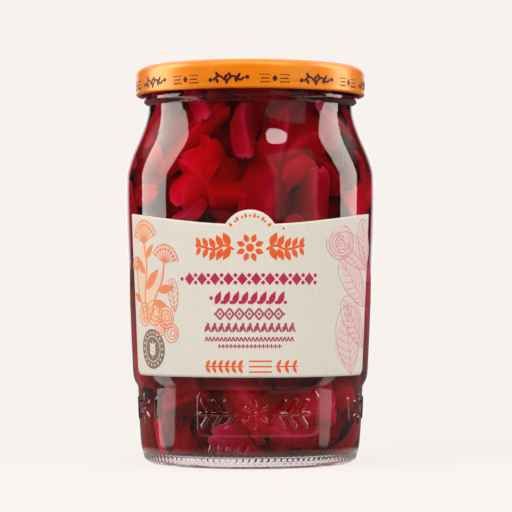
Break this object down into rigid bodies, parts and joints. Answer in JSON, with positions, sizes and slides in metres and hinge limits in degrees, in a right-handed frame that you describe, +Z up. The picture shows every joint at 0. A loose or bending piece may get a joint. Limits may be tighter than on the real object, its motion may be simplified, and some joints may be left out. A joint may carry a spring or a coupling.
{
  "type": "fermented red cabbage jar",
  "caption": "Clear glass twist-off jar packed with fermented red cabbage in its brine, with an orange metal lid and a paper label round the front.",
  "frame": {"origin": "middle of the jar's base, on the surface it stands on", "axes": "+Z up along the jar's axis, the label faces -Y, +X to the right seen from the front"},
  "size_m": [0.0924, 0.0928, 0.1463],
  "materials": {
    "glass": "clear smooth flint glass with a faint green cast in the thick base",
    "lid_lacquer": "glossy orange lacquer on pressed sheet steel, with small dark red printed ornaments round the skirt",
    "label_paper": "uncoated cream paper with fine fibres, printed in orange, crimson, pink and brown",
    "cabbage": "wet fermented red cabbage, deep crimson, slightly see-through at the edges"
  },
  "bodies": {
    "root": {"jar_glass": "glass", "lid": "lid_lacquer", "label": "label_paper", "cabbage": "cabbage"}
  },
  "joints": []
}
